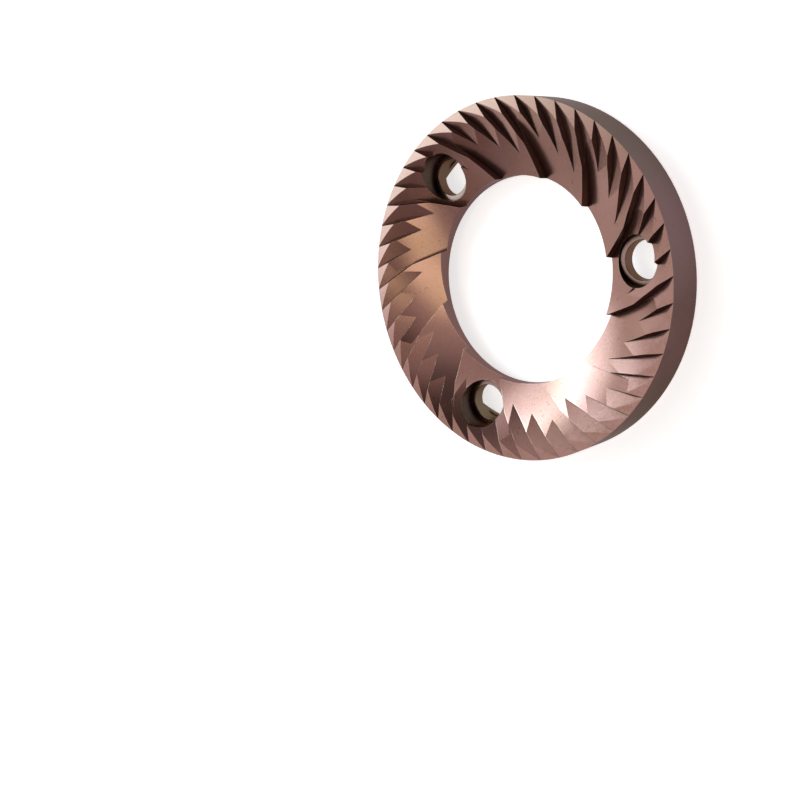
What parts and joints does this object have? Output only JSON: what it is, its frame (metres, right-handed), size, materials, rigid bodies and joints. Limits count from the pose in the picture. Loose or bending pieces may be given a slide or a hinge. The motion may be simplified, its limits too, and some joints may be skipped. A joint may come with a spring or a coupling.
{
  "type": "coffee grinder burr",
  "caption": "Flat coffee grinder burr: a coated steel ring with slanted cutting teeth, coarse breaker teeth around a wide bore, counterbored screw holes and a recessed back.",
  "frame": {"origin": "centre of the back rim face, which the burr lies on", "axes": "+Z along the ring's axis, out of the toothed face; +X through the first screw hole"},
  "size_m": [0.064, 0.064, 0.0085],
  "materials": {
    "coated_steel": "satin"
  },
  "bodies": {
    "root": {"burr": "coated_steel"}
  },
  "joints": []
}
